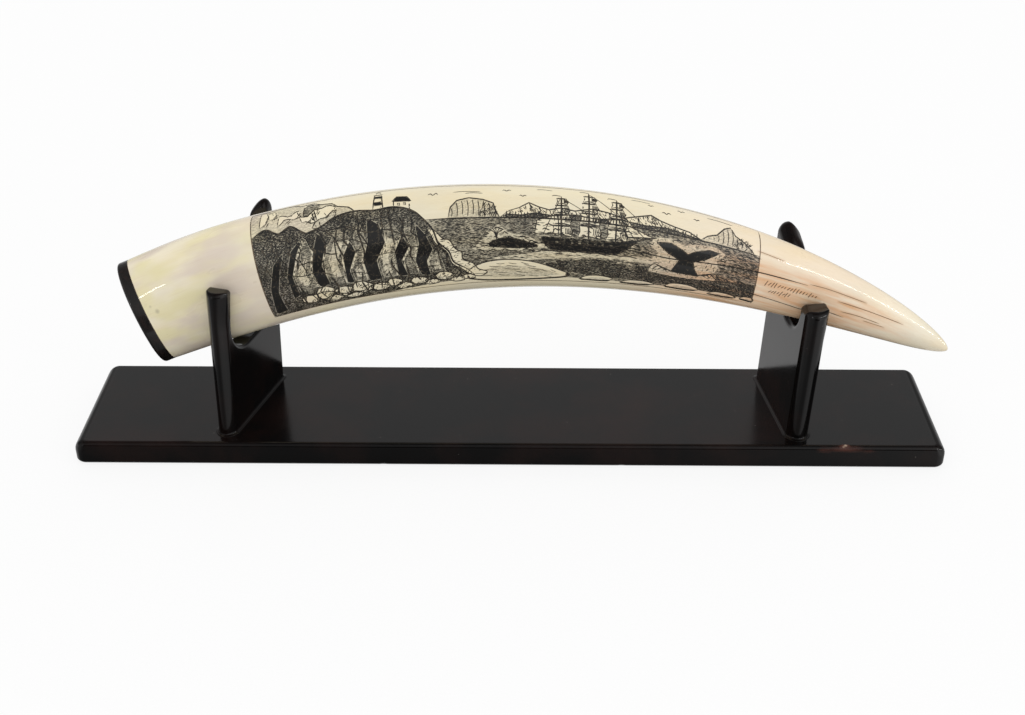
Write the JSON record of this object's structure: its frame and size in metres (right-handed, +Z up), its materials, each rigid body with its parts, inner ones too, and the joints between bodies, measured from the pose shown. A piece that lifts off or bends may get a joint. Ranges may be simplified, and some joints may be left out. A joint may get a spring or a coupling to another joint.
{
  "type": "engraved walrus tusk on a stand",
  "caption": "Arched ivory tusk with a dark cap on its sawn end, resting in the U notches of two uprights on a long lacquered board",
  "frame": {"origin": "centre of the board's underside, on the surface it stands on", "axes": "+X along the board from the tusk's butt to its tip, +Y from the front, which bears the picture, to the back, +Z up"},
  "size_m": [0.4904, 0.0832, 0.1554],
  "materials": {
    "lacquer": "black gloss lacquer",
    "ivory": "polished",
    "horn": "satin"
  },
  "bodies": {
    "root": {"stand_base": "lacquer", "upright_left": "lacquer", "upright_right": "lacquer", "tusk": "ivory", "butt_cap": "horn"}
  },
  "joints": []
}
